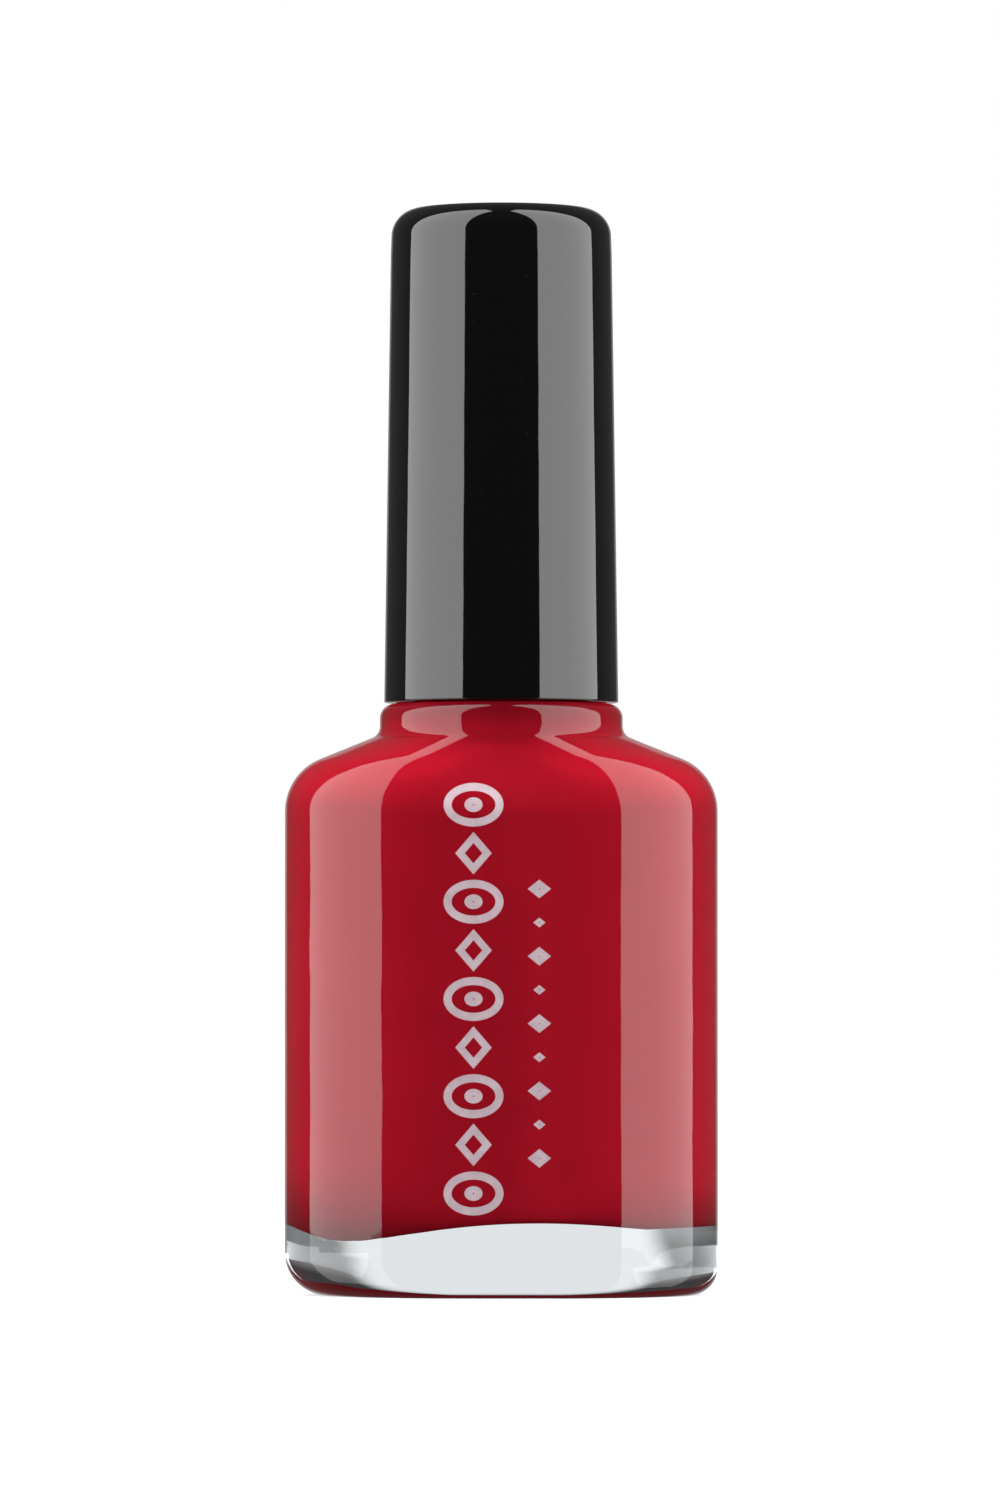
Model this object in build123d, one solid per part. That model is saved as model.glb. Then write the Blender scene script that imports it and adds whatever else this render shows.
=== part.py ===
from build123d import *

import os
from math import asin, cos, pi, radians, sin, tan

# Nail polish bottle, in millimetres.  +Z is up, the origin is the middle of the
# flat ring that the bottle stands on, X is the width and -Y is the front.
#
# A heavy-based glass bottle of obround section holds the lacquer and two mixing
# balls.  A tall two-piece cap screws onto its threaded neck: a smooth outer shell
# pressed over a threaded inner cap, which carries the brush stem, the bristles and
# their anchor, and closes on the rim through a two-layer liner.

# ---------------------------------------------------------------- driving sizes
# Glass body
body_width = 30.0
body_depth = 20.0
straight_height = 33.5        # base to where the side walls start to round over
side_wall = 1.8
heel_radius = 2.8
shoulder_radius = 3.9         # round-over at the ends of the width
shoulder_slope = 22.0         # degrees above the horizontal, seen from the front
front_fall = 2.3              # how far below that the front starts to lean in

# Collar: the plain band of glass between shoulder and cap
collar_margin = 0.3           # how far the collar stands out past the cap's foot
collar_height = 2.15
collar_wall = 1.7
collar_round = 0.7
collar_root = 0.9             # concave blend from shoulder to collar
front_step = 0.6              # how far the shoulder's front stands out of the collar

# Base
floor_peak = 5.1              # glass under the cavity at the top of its domed floor
floor_peak_x = 2.5
floor_curve = 62.0            # radius of the dome
floor_low = 3.5               # glass under the lowest, flat part, at the left end
floor_round = 2.4
recess_width = 21.0           # hollow under the base, inside the ring it stands on
recess_depth_y = 11.0
recess_height = 0.7
recess_round = 0.5

# Threaded neck, a 13 mm tall finish
neck_radius = 5.72
neck_bore = 3.35
finish_height = 11.4          # collar top to rim
rim_round = 0.4
bore_lead = 0.65              # how far above the collar's top the full bore starts
thread_pitch = 2.12
thread_turns = 1.5
thread_depth = 0.73
thread_root_width = 1.05
thread_crest_width = 0.5
thread_below_rim = 1.5        # rim to the middle of the thread's upper end

# Cap shell
cap_foot_wall = 0.89          # of the shell at its foot, outside the inner cap
cap_draw = 0.49               # how much smaller its radius is at the top
cap_height = 34.15
cap_edge_round = 1.65
cap_foot_round = 0.12
cap_wall = 1.0
cap_roof = 1.6
shell_seat_height = 14.2      # straight bore that grips the inner cap

# Inner cap
inner_thread_turns = 1.35
inner_thread_width = 0.95     # at its root, in the inner cap's wall
inner_crest_width = 0.4
inner_cap_wall = 0.6
inner_cap_recess = 0.35       # its mouth stands this far inside the shell
deck_thickness = 1.2
boss_wall = 1.15
boss_height = 12.0
boss_roof = 1.0
fin_count = 6
fin_thickness = 0.8
fin_height = 9.5

# Liner between the rim and the inner cap's deck
facing_thickness = 0.3
pad_thickness = 0.9
liner_gap = 0.25              # between the stem's flange and the liner

# Applicator
stem_radius = 1.75
stem_taper = 0.2              # how much smaller the stem's radius is at its end
stem_length = 31.0            # deck to the stem's lower end
flange_step = 0.8             # how far the flange stands out of the stem
flange_thickness = 0.7
spigot_step = 0.2
spigot_height = 6.0
barb_height = 0.14            # rings that bite in the inner cap's boss
barb_count = 3
socket_wall = 0.45
socket_depth = 5.0
bristle_length = 13.5         # stem's end to the bristles' tip
bristle_flare = 0.05          # how much wider than the stem's end the tuft gets
anchor_cover = 0.2            # stem left outside the anchor's ends
anchor_height = 1.3
anchor_thickness = 0.35

# Lacquer and mixing balls
fill_below_collar_top = 0.15
channel_gap = 0.4             # between the stem and the space it leaves in the lacquer
channel_floor_gap = 1.0
ball_radius = 2.0
ball_spread = 5.2             # between the centres of the two balls
ball_from_end = 4.6           # from the inside of the left end
ball_clear = 0.15             # between a ball and the floor

# ---------------------------------------------------------------- clearances
cap_gap = 0.25                # collar top to the shell's lower edge
shell_fit = 0.03              # shell on inner cap
thread_fit = 0.15             # thread crest to the mating root
stem_fit = 0.02               # spigot and barbs in the boss
anchor_fit = 0.02
fill_fit = 0.05               # lacquer to glass
ball_fit = 0.03
bristle_fit = 0.02

# ---------------------------------------------------------------- worked-out sizes
half_width = body_width / 2
half_depth = body_depth / 2
slope = radians(shoulder_slope)
thread_crest = neck_radius + thread_depth
thread_root = thread_crest + thread_fit
inner_crest = neck_radius + thread_fit
inner_cap_radius = thread_root + inner_cap_wall
shell_bore = inner_cap_radius + shell_fit
cap_bottom_radius = shell_bore + cap_foot_wall
cap_top_radius = cap_bottom_radius - cap_draw
collar_radius = cap_bottom_radius + collar_margin
stem_tip_radius = stem_radius - stem_taper
flange_radius = stem_radius + flange_step
spigot_radius = stem_radius + spigot_step
boss_radius = spigot_radius + boss_wall
liner_bore = flange_radius + liner_gap
socket_radius = stem_tip_radius - socket_wall
bristle_tip_radius = stem_tip_radius + bristle_flare
anchor_width = 2 * (stem_tip_radius - anchor_cover)
brush_channel = stem_radius + channel_gap


def slope_top(width, corner, top):
    """Height where the sloping shoulder line would meet the radius top."""
    line_start = width - corner * (1 - sin(slope))
    return straight_height + corner * cos(slope) + (line_start - top) * tan(slope)


collar_base = slope_top(half_width, shoulder_radius, collar_radius)
collar_top = collar_base + collar_height
rim = collar_top + finish_height
cap_foot = collar_top + cap_gap
cap_top = cap_foot + cap_height
deck = rim + facing_thickness + pad_thickness
deck_top = deck + deck_thickness
stem_end = deck - stem_length
bristle_tip = stem_end - bristle_length
fill_level = collar_top - fill_below_collar_top
overrun = 1.0                 # how far cutting shapes run past what they cut
section_points = 80           # points that each smooth section curves through
seam_step = 0.03              # the shoulder's foot sits this far inside the straight walls
sink = 0.15                   # how far a thread's foot is sunk in its wall


# ---------------------------------------------------------------- shared shapes
def obround(width, depth, z):
    """Horizontal obround face with the given half width and half depth."""
    return Plane.XY.offset(z) * SlotOverall(2 * width, 2 * depth)


def smooth_section(width, depth, z):
    """The same outline as one smooth closed curve, which may also be a circle."""
    width -= seam_step
    depth = min(depth - seam_step, width)
    spare = width - depth
    points = []
    for i in range(section_points):
        angle = 2 * pi * i / section_points
        across = abs(cos(angle))
        along = abs(sin(angle))
        reach = spare * across + (depth**2 - (spare * along) ** 2) ** 0.5
        if across * depth < spare * along:
            reach = depth / along
        points.append((reach * cos(angle), reach * sin(angle)))
    return Plane.XY.offset(z) * make_face(Spline(*points, periodic=True))


def disc(radius, low, high):
    """Upright cylinder between two heights."""
    return Pos(0, 0, low) * extrude(Circle(radius), high - low)


def spin(points):
    """Solid of revolution about Z of an outline given as (radius, height)."""
    outline = make_face(Plane.XZ * Polyline(*points, close=True))
    return revolve(outline, Axis.Z)


def side_at(z, width, corner, top):
    """Half width of the shoulder at height z: round-over, slope, concave root."""
    arc_end = straight_height + corner * cos(slope)
    meet = slope_top(width, corner, top)
    blend = collar_root * tan((pi / 2 - slope) / 2)
    if z <= straight_height:
        return width
    if z <= arc_end:
        return width - corner + corner * cos(asin((z - straight_height) / corner))
    if z <= meet - blend * sin(slope):
        return width - corner * (1 - sin(slope)) - (z - arc_end) / tan(slope)
    if z >= meet + blend:
        return top
    drop = meet + blend - z
    return top + collar_root - (collar_root**2 - drop**2) ** 0.5


def front_at(z, depth, meet, top):
    """Half depth of the shoulder at height z: straight, leaning in, then a step."""
    start = straight_height - front_fall
    knee = meet - front_step
    lean_top = min(top + front_step, depth)
    curved = 0.57             # share of the lean that is curved, the rest is straight
    if z <= start:
        return depth
    if z <= knee:
        u = (z - start) / (knee - start)
        part = u * u / (2 * curved) if u < curved else u - curved / 2
        return depth - (depth - lean_top) * part / (1 - curved / 2)
    if z >= meet + front_step:
        return top
    u = (z - knee) / (2 * front_step)
    return lean_top - (lean_top - top) * u * u * (3 - 2 * u)


def shoulder(width, depth, corner, top, crown):
    """Loft from just under the shoulder up to the crown, a list of (radius, height)."""
    meet = slope_top(width, corner, top)
    arc_end = straight_height + corner * cos(slope)
    low = straight_height - front_fall
    heights = [low - 1.0, low, (low + straight_height) / 2]
    heights += [straight_height + corner * sin(radians(a)) for a in (0, 15, 30, 45, 57)]
    line_end = meet - collar_root * tan((pi / 2 - slope) / 2) * sin(slope)
    last = meet + collar_root
    steps = 5
    heights += [arc_end + (line_end - arc_end) * i / steps for i in range(steps + 1)]
    heights += [line_end + (last - line_end) * i / steps for i in range(1, steps + 1)]
    sections = [
        smooth_section(side_at(z, width, corner, top), front_at(z, depth, meet, top), z)
        for z in heights
    ]
    sections += [smooth_section(radius, radius, z) for radius, z in crown]
    return loft(sections)


def thread(at_radius, to_radius, foot, crest, turns, low):
    """Helical ridge; its foot, on the wall at at_radius, is sunk a little into it."""
    way = 1 if to_radius > at_radius else -1
    start = at_radius - way * sink
    path = Helix(thread_pitch, thread_pitch * turns, at_radius)
    outline = make_face(Plane.XZ * Polyline(
        (start, -foot / 2), (at_radius, -foot / 2), (to_radius, -crest / 2),
        (to_radius, crest / 2), (at_radius, foot / 2), (start, foot / 2), close=True))
    return Pos(0, 0, low) * sweep(outline, path, is_frenet=True)


# ---------------------------------------------------------------- glass bottle
def cavity(inset=0.0):
    """Inside of the bottle from its floor to just above the rim, taken in by inset."""
    wall = side_wall + inset
    width = half_width - wall
    depth = half_depth - wall
    corner = shoulder_radius - side_wall
    top = collar_radius - collar_wall - inset
    bore = neck_bore - inset
    meet = slope_top(width, corner, top)
    start = meet + collar_root + 0.1
    end = collar_top + bore_lead
    lip = bore + 2 * seam_step
    crown = []
    for i in range(1, 9):
        u = i / 8
        crown.append((top + (lip - top) * u * u * (3 - 2 * u), start + (end - start) * u))
    low = straight_height - front_fall
    ground = floor_low + inset
    body = Pos(0, 0, ground) * extrude(obround(width, depth, 0), low - ground)
    body = fillet(body.faces().sort_by(Axis.Z)[0].edges(), floor_round)
    body += shoulder(width, depth, corner, top, crown)
    body -= Pos(floor_peak_x, 0, floor_peak + inset - floor_curve) * Sphere(floor_curve)
    return body + disc(bore, end - 0.4, rim + overrun)


def glass_bottle():
    low = straight_height - front_fall
    body = extrude(obround(half_width, half_depth, 0), low)
    body = fillet(body.faces().sort_by(Axis.Z)[0].edges(), heel_radius)
    crown = []
    for a in (0, 25, 50, 70, 90):
        out = collar_radius - collar_round * (1 - cos(radians(a)))
        crown.append((out, collar_top - collar_round * (1 - sin(radians(a)))))
    body += shoulder(half_width, half_depth, shoulder_radius, collar_radius, crown)
    neck = disc(neck_radius, collar_top - 0.5, rim)
    neck = fillet(neck.faces().sort_by(Axis.Z)[-1].edges(), rim_round)
    thread_low = rim - thread_below_rim - thread_pitch * thread_turns
    ridge = thread(neck_radius, thread_crest, thread_root_width, thread_crest_width,
                   thread_turns, thread_low)
    recess = extrude(SlotOverall(recess_width, recess_depth_y), recess_height)
    recess = fillet(recess.faces().sort_by(Axis.Z)[-1].edges(), recess_round)
    return body + neck + ridge - cavity() - recess


# ---------------------------------------------------------------- lacquer and balls
def ball_places():
    """Centres of the two mixing balls, on the domed floor near the left end."""
    x = -half_width + side_wall + ball_from_end
    reach = floor_curve + ball_radius + ball_clear
    out = (x - floor_peak_x) ** 2 + (ball_spread / 2) ** 2
    z = floor_peak - floor_curve + (reach**2 - out) ** 0.5
    return [(x, side * ball_spread / 2, z) for side in (-1, 1)]


def mixing_ball(place):
    return Pos(*place) * Sphere(ball_radius)


def lacquer():
    above = disc(half_width + overrun, fill_level, rim + 2 * overrun)
    channel_low = bristle_tip - channel_floor_gap
    channel = disc(brush_channel, channel_low, rim)
    liquid = cavity(fill_fit) - above - channel
    for place in ball_places():
        liquid -= Pos(*place) * Sphere(ball_radius + ball_fit)
    return liquid


# ---------------------------------------------------------------- cap
def outer_cap():
    taper = (cap_bottom_radius - cap_top_radius) / cap_height
    outside = spin([(0, cap_foot), (cap_bottom_radius, cap_foot),
                    (cap_top_radius, cap_top), (0, cap_top)])
    outside = fillet(outside.faces().sort_by(Axis.Z)[-1].edges(), cap_edge_round)
    outside = fillet(outside.faces().sort_by(Axis.Z)[0].edges(), cap_foot_round)
    seat_top = cap_foot + shell_seat_height
    upper = cap_bottom_radius - taper * shell_seat_height - cap_wall
    narrow = cap_top_radius - cap_wall
    hollow = spin([(0, cap_foot - overrun), (shell_bore, cap_foot - overrun),
                   (shell_bore, seat_top), (min(upper, shell_bore), seat_top + 0.3),
                   (narrow, cap_top - cap_roof), (0, cap_top - cap_roof)])
    return outside - hollow


def inner_cap():
    mouth = cap_foot + inner_cap_recess
    body = disc(inner_cap_radius, mouth, deck_top) - disc(thread_root, mouth - overrun, deck)
    # The ridge runs between the turns of the neck's thread, half a pitch below it.
    neck_low = rim - thread_below_rim - thread_pitch * thread_turns
    body += thread(thread_root, inner_crest, inner_thread_width, inner_crest_width,
                   inner_thread_turns, neck_low - thread_pitch / 2)
    body += disc(boss_radius, deck_top - 0.1, deck_top + boss_height)
    fin_reach = cap_top_radius - cap_wall - shell_fit - 0.1
    fin = Pos(fin_reach / 2, 0, deck_top + fin_height / 2 - 0.05) * Box(
        fin_reach, fin_thickness, fin_height + 0.1)
    for i in range(fin_count):
        body += Rot(0, 0, 360 * i / fin_count) * fin
    hole_top = deck_top + boss_height - boss_roof
    return body - disc(spigot_radius + stem_fit, deck - overrun, hole_top) - barbs(stem_fit)


def liner_facing():
    outer = inner_crest - thread_fit
    return disc(outer, rim, rim + facing_thickness) - disc(liner_bore, rim - 1, deck)


def liner_pad():
    low = rim + facing_thickness
    return disc(thread_root - thread_fit, low, deck) - disc(liner_bore, low - 1, deck + 1)


# ---------------------------------------------------------------- applicator
def barbs(grow=0.0):
    """Rings on the spigot that hold the stem in the boss."""
    rings = []
    step = (spigot_height - 1.6) / barb_count
    for i in range(barb_count):
        low = deck + 1.2 + step * i
        rings.append(spin([(0, low - grow), (spigot_radius + barb_height + grow, low - grow),
                           (spigot_radius + grow, low + 0.7 + grow), (0, low + 0.7 + grow)]))
    return Part() + rings


def anchor_place():
    return stem_end + socket_depth - anchor_height / 2


def brush_stem():
    body = spin([
        (0, stem_end), (stem_tip_radius, stem_end), (stem_radius, stem_end + socket_depth + 2),
        (stem_radius, deck - flange_thickness - 0.5), (flange_radius, deck - flange_thickness),
        (flange_radius, deck), (spigot_radius, deck), (spigot_radius, deck + spigot_height - 0.5),
        (spigot_radius - 0.4, deck + spigot_height), (0, deck + spigot_height)])
    body += barbs()
    body -= disc(socket_radius, stem_end - overrun, stem_end + socket_depth)
    slot = Box(anchor_width + 2 * anchor_fit, anchor_thickness + 2 * anchor_fit,
               anchor_height + 2 * anchor_fit)
    return body - Pos(0, 0, anchor_place()) * slot


def brush_anchor():
    return Pos(0, 0, anchor_place()) * Box(anchor_width, anchor_thickness, anchor_height)


def bristles():
    inside = socket_radius - bristle_fit
    top = stem_end + socket_depth - bristle_fit
    tuft = spin([(0, top), (inside, top), (inside, stem_end),
                 (bristle_tip_radius, bristle_tip + 1.6), (bristle_tip_radius * 0.8, bristle_tip + 0.5),
                 (bristle_tip_radius * 0.4, bristle_tip), (0, bristle_tip)])
    slot = Box(anchor_width + 2 * anchor_fit, anchor_thickness + 2 * anchor_fit,
               anchor_height + 2 * anchor_fit)
    return tuft - Pos(0, 0, anchor_place()) * slot


# ---------------------------------------------------------------- write the parts
os.makedirs("parts", exist_ok=True)
solids = {
    "glass_bottle": glass_bottle(),
    "lacquer": lacquer(),
    "outer_cap": outer_cap(),
    "inner_cap": inner_cap(),
    "liner_facing": liner_facing(),
    "liner_pad": liner_pad(),
    "brush_stem": brush_stem(),
    "brush_anchor": brush_anchor(),
    "bristles": bristles(),
}
for number, place in enumerate(ball_places(), 1):
    solids[f"mixing_ball_{number}"] = mixing_ball(place)
for name, solid in solids.items():
    export_step(solid, f"parts/{name}.step")
    print(name, round(solid.volume, 1), "mm3")
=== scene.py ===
"""Looks of a nail polish bottle: glass, lacquer, cap, liner and brush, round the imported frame.

Everything is in metres in the frame's own axes: +Z up, -Y the front.  Sizes inside the
classes are in millimetres and are turned into metres by `metres` when a mesh is made.
"""

from __future__ import annotations

import logging
import math
import random
from dataclasses import dataclass, field
from enum import Enum
from typing import Callable, Sequence

import bpy
import numpy as np
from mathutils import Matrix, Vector


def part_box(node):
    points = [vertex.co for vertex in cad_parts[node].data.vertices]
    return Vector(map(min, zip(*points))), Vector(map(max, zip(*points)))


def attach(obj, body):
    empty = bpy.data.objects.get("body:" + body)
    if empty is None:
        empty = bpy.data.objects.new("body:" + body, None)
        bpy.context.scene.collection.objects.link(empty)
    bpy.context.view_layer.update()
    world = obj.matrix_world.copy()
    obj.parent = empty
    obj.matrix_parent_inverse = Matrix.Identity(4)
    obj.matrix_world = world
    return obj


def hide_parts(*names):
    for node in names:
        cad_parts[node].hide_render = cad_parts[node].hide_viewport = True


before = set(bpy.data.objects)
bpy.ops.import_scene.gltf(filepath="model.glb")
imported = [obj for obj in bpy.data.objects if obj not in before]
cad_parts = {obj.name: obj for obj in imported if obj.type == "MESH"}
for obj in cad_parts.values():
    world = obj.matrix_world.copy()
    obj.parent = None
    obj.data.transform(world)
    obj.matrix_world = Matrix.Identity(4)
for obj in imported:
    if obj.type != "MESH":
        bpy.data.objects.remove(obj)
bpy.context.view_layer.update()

LOG = logging.getLogger("bottle")
MM = 0.001
GOLDEN_ANGLE = 2.399963

Node, Socket, Tree, Piece = bpy.types.Node, bpy.types.NodeSocket, bpy.types.NodeTree, bpy.types.Object
Colour = tuple[float, float, float]
Pair = tuple[float, float]
Faces = list[tuple[int, ...]]
Rings = list[np.ndarray]
Outline = list[Pair]


class Body(Enum):
    """Rigid bodies of the frame that pieces ride on."""

    BOTTLE = "bottle"
    CAP = "cap"
    PAD = "pad"
    FACING = "facing"


# ---- mesh tools
def metres(points: np.ndarray) -> np.ndarray:
    """Points in millimetres as points in metres."""
    return np.asarray(points, float) * MM


def skin(name: str, rings: Sequence[np.ndarray], start: np.ndarray, end: np.ndarray) -> Piece:
    """Closed smooth skin through rings of equal point counts, with a pole at each end.

    Args:
        name: Name of the new object.
        rings: Rings of points in millimetres, counter-clockwise seen from above.
        start: Pole before the first ring, in millimetres.
        end: Pole after the last ring, in millimetres.

    Returns:
        The new mesh object, linked to the scene.
    """
    around = len(rings[0])
    points = np.vstack([*rings, start[None, :], end[None, :]])
    first, last = len(points) - 2, len(points) - 1
    faces: Faces = []
    step = np.roll(np.arange(around), -1)
    for row in range(len(rings) - 1):
        a, b = row * around, (row + 1) * around
        faces += [(a + j, a + step[j], b + step[j], b + j) for j in range(around)]
    top = (len(rings) - 1) * around
    faces += [(first, step[j], j) for j in range(around)]
    faces += [(last, top + j, top + step[j]) for j in range(around)]
    return mesh_object(name, metres(points), faces)


def mesh_object(name: str, points: np.ndarray, faces: Sequence[tuple[int, ...]]) -> Piece:
    """Smooth-shaded mesh object from points in metres.

    Args:
        name: Name of the new object.
        points: Vertices in metres.
        faces: Vertex numbers of each face.

    Returns:
        The new object, linked to the scene.
    """
    mesh = bpy.data.meshes.new(name)
    mesh.from_pydata([tuple(map(float, p)) for p in points], [], [tuple(map(int, f)) for f in faces])
    mesh.polygons.foreach_set("use_smooth", [True] * len(mesh.polygons))
    mesh.update()
    return linked(name, mesh)


def linked(name: str, data: bpy.types.ID) -> Piece:
    """New object that holds the data, linked to the scene.

    Args:
        name: The object's name.
        data: Its mesh, lamp or camera.

    Returns:
        The new object.
    """
    made = bpy.data.objects.new(name, data)
    bpy.context.scene.collection.objects.link(made)
    return made


def level_ring(angles: np.ndarray, radius: float | np.ndarray, z: float) -> np.ndarray:
    """Level ring of points at one radius, or at a radius for each angle."""
    return np.stack([radius * np.cos(angles), radius * np.sin(angles), np.full(len(angles), z)], axis=1)


def turn(count: int) -> np.ndarray:
    """Equal angles once round."""
    return np.arange(count) * 2 * math.pi / count


def smooth(u: float | np.ndarray) -> float | np.ndarray:
    """Smooth step from 0 to 1."""
    u = np.clip(u, 0.0, 1.0)
    return u * u * (3 - 2 * u)


def arc(centre: Pair, radius: float, start: float, end: float, count: int) -> Outline:
    """Points along an arc, its angles in degrees from the outward direction towards up."""
    angles = [math.radians(start + (end - start) * i / (count - 1)) for i in range(count)]
    return [(centre[0] + radius * math.cos(a), centre[1] + radius * math.sin(a)) for a in angles]


# ---- node tools
class Nodes:
    """Short way to lay nodes in a tree."""

    def __init__(self, tree: Tree) -> None:
        """Takes the tree that nodes are added to."""
        self.tree = tree

    def add(self, kind: str, **settings: object) -> Node:
        """Adds a node and sets its properties and, by name or number, its input values.

        Args:
            kind: Blender's name of the node type.
            settings: Properties, and inputs given as a dict under the key `inputs`.

        Returns:
            The new node.
        """
        node = self.tree.nodes.new(kind)
        inputs = settings.pop("inputs", {})
        for key, value in settings.items():
            setattr(node, key, value)
        for key, value in inputs.items():
            if isinstance(value, Socket):
                self.tree.links.new(value, node.inputs[key])
            else:
                node.inputs[key].default_value = value
        return node

    def math(self, how: str, a: object, b: object = 0.0, clamp: bool = False) -> Socket:
        """One Math node with two operands."""
        return self.add("ShaderNodeMath", operation=how, use_clamp=clamp, inputs={0: a, 1: b}).outputs[0]

    def ramp(self, value: object, low: float, high: float, out: Pair = (0.0, 1.0)) -> Socket:
        """Smooth Map Range of a value from low..high to out."""
        inputs = {"Value": value, "From Min": low, "From Max": high, "To Min": out[0], "To Max": out[1]}
        return self.add("ShaderNodeMapRange", interpolation_type="SMOOTHSTEP", inputs=inputs).outputs[0]

    def mix(self, factor: object, a: object, b: object) -> Socket:
        """Colour mix of a and b.

        Args:
            factor: Share of b, a number or a socket.
            a: First colour or socket.
            b: Second colour or socket.

        Returns:
            The mixed colour.
        """
        node = self.add("ShaderNodeMix", data_type="RGBA")
        for index, value in ((0, factor), (6, a), (7, b)):
            if isinstance(value, Socket):
                self.tree.links.new(value, node.inputs[index])
            elif index:
                node.inputs[index].default_value = (*value, 1.0)
            else:
                node.inputs[index].default_value = value
        return node.outputs[2]

    def noise(self, where: object, scale: float, detail: float = 2.0, rough: float = 0.5) -> Socket:
        """Noise between 0 and 1 in object space."""
        inputs = {"Vector": where, "Scale": scale, "Detail": detail, "Roughness": rough}
        return self.add("ShaderNodeTexNoise", inputs=inputs).outputs[0]

    def place(self) -> Socket:
        """Position in object space."""
        return self.add("ShaderNodeTexCoord").outputs["Object"]

    def link(self, value: Socket, node: Node, socket: str) -> None:
        """Joins a value to a node's input."""
        self.tree.links.new(value, node.inputs[socket])

    def put(self, node: Node, socket: str, value: object) -> None:
        """Sets the value of a node's input."""
        node.inputs[socket].default_value = value

    def bump(self, shader: Node, height: Socket, depth: float) -> None:
        """Bumps a shader's surface by a height from 0 to 1, times a depth in metres."""
        made = self.add("ShaderNodeBump", inputs={"Height": height, "Distance": depth, "Strength": 1.0})
        self.link(made.outputs[0], shader, "Normal")

    def blend(self, factor: object, a: object, b: object) -> Socket:
        """Number between a and b."""
        return self.add("ShaderNodeMix", data_type="FLOAT", inputs={0: factor, 2: a, 3: b}).outputs[0]

    def layer(self, factor: object, a: object, b: object) -> Socket:
        """Shader between a and b."""
        return self.add("ShaderNodeMixShader", inputs={0: factor, 1: a, 2: b}).outputs[0]

    def surface(self, value: Socket) -> None:
        """Makes a shader the material's surface."""
        self.link(value, self.tree.nodes["Material Output"], "Surface")


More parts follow.
